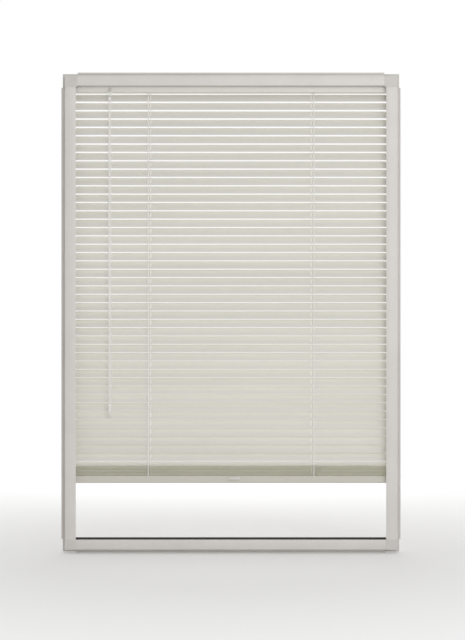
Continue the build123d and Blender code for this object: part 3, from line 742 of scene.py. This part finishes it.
# twisted lift cord: a lobed ring screwed down from the headrail to the bottom rail
def makeLiftCord(name, x, look):
    height = look["top"] - look["low"]
    deselect()
    bpy.ops.mesh.primitive_circle_add(vertices=look["sides"], radius=look["radius"], fill_type="NOTHING")
    cord = started(name)
    shape = bmesh.from_edit_mesh(cord.data)
    corners = {point.index for point in shape.verts if point.index % 2}
    bpy.ops.mesh.select_all(action="DESELECT")
    for point in shape.verts:
        point.select_set(point.index in corners)
    bmesh.update_edit_mesh(cord.data)
    bpy.ops.transform.resize(value=(look["lobe"], look["lobe"], 1), center_override=(0, 0, 0))
    endEdit()
    addModifier(cord, "SCREW", angle=2 * pi, screw_offset=height / look["turns"], iterations=look["turns"],
                steps=look["steps"], render_steps=look["steps"], axis="Z")
    startEdit(cord)
    bpy.ops.mesh.select_non_manifold()
    bpy.ops.mesh.edge_face_add()
    bpy.ops.mesh.select_all(action="SELECT")
    shift(x, blind["axisY"], look["low"])
    endEdit()
    tidyMesh(cord)
    smooth(cord, degrees=70)
    finished(cord, "cord", "cord", None, "cords")
    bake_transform(cord)


for side, word in ((-1, "Left"), (1, "Right")):
    x = side * blind["liftX"]
    makeLiftCord("liftCord" + word, x, liftLook)
    y = blind["axisY"]
    runY = y + side * liftLook["run"]
    z = liftLook["top"]
    route = [(x, y, z - liftLook["runStart"]), (x, y, z), (x, runY, z), (x + liftLook["runBend"], runY, z),
             (liftLook["unitX"], runY, z)]
    run = bent("liftRun" + word, route, liftLook["runRadius"])
    finished(run, "cord", "cord", "frame")
print("lift cords run")

# outlines are distances from the axis and heights above the eye, the cap's top, the grip's top or its low end
wandLook = {
    "x": -0.304, "y": -0.0332, "eyeZ": -0.0389268, "flats": 0.006, "length": 0.773, "wire": 0.001,
    "hook": ((-0.0046, -0.0064), (-0.0046, -0.004), (-0.0046, 0.0014), (0, 0.0002), (0.0046, 0.0014),
             (0.0046, -0.004), (0.00437, -0.0072), (0.00046, -0.0086), (0, -0.0115), (0, -0.0145)),
    "capTop": 0.0125,
    "cap": ((0.0022, 0), (0.0036, 0), (0.0043, -0.0003), (0.0046, -0.001), (0.0046, -0.0055),
            (0.0042, -0.0058), (0.0042, -0.0062), (0.0046, -0.0065), (0.0043, -0.007), (0.0025, -0.007)),
    "rodTop": 0.0195, "rodStart": 0.0145, "rodSocket": 0.008, "rodPoint": 0.0004, "rodEdge": 0.00035,
    "gripLength": 0.019,
    "grip": ((0.0035, 0), (0.0038, -0.0002), (0.00385, -0.001), (0.0039, -0.006), (0.0041, -0.010),
             (0.0045, -0.0135), (0.0050, -0.0165), (0.0054, -0.0182)),
    "gripEnd": ((0.0056, 0.0003), (0.0054, 0), (0.0030, 0.0004), (0.0014, 0.0002)),
    "ballDrop": 0.0082, "ballRadius": 0.0036, "ballFrom": 23, "ballSpan": 152, "ballSteps": 8,
}


# wire hook, cap, six-sided rod, bell grip and ball
def makeWand(look):
    x, y, eye = look["x"], look["y"], look["eyeZ"]
    hook = bent("wandHook", [(x + u, y, eye + v) for u, v in look["hook"]], look["wire"], sides=3)
    finished(hook, "frosted", "wand_clear", "wand", "tilt_wand")
    capTop = eye - look["capTop"]
    cap = turned("wandCap", [(radius, capTop + rise) for radius, rise in look["cap"]], x, y)
    finished(cap, "frosted", "wand_clear", "wand")
    rodTop = eye - look["rodTop"]
    rodLow = eye - look["rodStart"] - look["length"] + look["rodSocket"]
    corner = look["flats"] / 2 / cos(pi / 6)
    point = look["rodPoint"]
    outline = [(corner - point, rodTop), (corner, rodTop - point), (corner, rodLow)]
    rod = turned("wandRod", outline, x, y, sides=6)
    addModifier(rod, "BEVEL", width=look["rodEdge"], segments=2, limit_method="ANGLE",
                angle_limit=meshLook["sharpAngle"])
    smooth(rod, degrees=40)
    finished(rod, "clear", "wand_clear", "wand")
    low = rodLow - look["gripLength"]
    rings = [(radius, rodLow + rise) for radius, rise in look["grip"]]
    rings += [(radius, low + rise) for radius, rise in look["gripEnd"]]
    ball = low - look["ballDrop"]
    for step in range(look["ballSteps"] + 1):
        angle = radians(look["ballFrom"] + step * look["ballSpan"] / look["ballSteps"])
        rings.append((look["ballRadius"] * sin(angle), ball + look["ballRadius"] * cos(angle)))
    grip = turned("wandGrip", rings, x, y)
    finished(grip, "frosted", "wand_clear", "wand")


makeWand(wandLook)
print("tilt wand hung")


# rays that show the background: straight, in gloss and through the clear wand
def shownRays(flow):
    straight = flow.node("ShaderNodeLightPath", output="Is Camera Ray")
    outputs = straight.socket.node.outputs
    glossy = Flow(flow.tree, outputs["Is Glossy Ray"])
    through = Flow(flow.tree, outputs["Is Transmission Ray"])
    return flow.maths("MAXIMUM", flow.maths("MAXIMUM", straight, glossy), through)


# the stage: pale floor that fades to white, soft light
floorLook = {"z": cadBounds[0][2] - 0.0006, "size": 9.0, "colour": (0.86, 0.855, 0.845), "speckShade": 0.985,
             "speck": 0.02, "rough": 0.8, "speckRough": 0.1, "fade": (0.5, 1.75), "leastWhite": 0.25}
deselect()
bpy.ops.mesh.primitive_plane_add(size=floorLook["size"], location=(0, 0, floorLook["z"]))
floor = bpy.context.object
floor.name = "paleFloor"
material, flow, shader = newFinish("paleFloorFinish")
speck = flow.noise(floorLook["speck"], detail=3.0)
shade = tuple(part * floorLook["speckShade"] for part in floorLook["colour"])
flow.blend(speck, floorLook["colour"], shade).into(shader, "Base Color")
(floorLook["rough"] + speck * floorLook["speckRough"]).into(shader, "Roughness")
white = flow.node("ShaderNodeEmission", {}, {"Color": (1, 1, 1, 1), "Strength": 1.0})
distance = flow.node("ShaderNodeVectorMath", {"operation": "LENGTH"}, {0: flow.spot()}, 1)
far = distance.ramp(*floorLook["fade"])
least = floorLook["leastWhite"]
both = flow.node("ShaderNodeMixShader", {}, {0: shownRays(flow) * (least + far * (1 - least))})
flow.tree.links.new(shader.outputs[0], both.socket.node.inputs[1])
flow.tree.links.new(white.socket, both.socket.node.inputs[2])
flow.tree.links.new(both.socket, flow.tree.nodes["Material Output"].inputs["Surface"])
floor.data.materials.append(material)

lightLook = {
    "ambient": 0.55,
    "room": {"power": 28.0, "wide": 2.0, "tall": 2.0, "place": (0.9, -2.8, 0.2), "at": (0, 0, -0.5),
             "shows": True},
    "window": {"power": 32.0, "wide": 1.8, "tall": 0.6, "place": (0, 2.0, -0.85), "at": (0, 0, -0.6),
               "shows": False},      # seen in the gloss it would burn out
}
world = bpy.data.worlds.new("studioWorld")
bpy.context.scene.world = world
world.use_nodes = True
sky = Flow(world.node_tree)
level = lightLook["ambient"] + shownRays(sky) * (1 - lightLook["ambient"])
background = world.node_tree.nodes["Background"]
background.inputs["Color"].default_value = (1, 1, 1, 1)
level.into(background, "Strength")


def areaLight(name, look):
    data = bpy.data.lights.new(name, "AREA")
    data.energy = look["power"]
    data.shape = "RECTANGLE"
    data.size = look["wide"]
    data.size_y = look["tall"]
    lamp = bpy.data.objects.new(name, data)
    bpy.context.collection.objects.link(lamp)
    lamp.location = look["place"]
    aim = Vector(look["place"]) - Vector(look["at"])
    lamp.rotation_euler = aim.to_track_quat("Z", "Y").to_euler()
    lamp.visible_camera = False
    lamp.visible_transmission = False
    lamp.visible_glossy = look["shows"]


areaLight("roomLight", lightLook["room"])
areaLight("windowLight", lightLook["window"])
bpy.context.scene.view_settings.view_transform = "Standard"
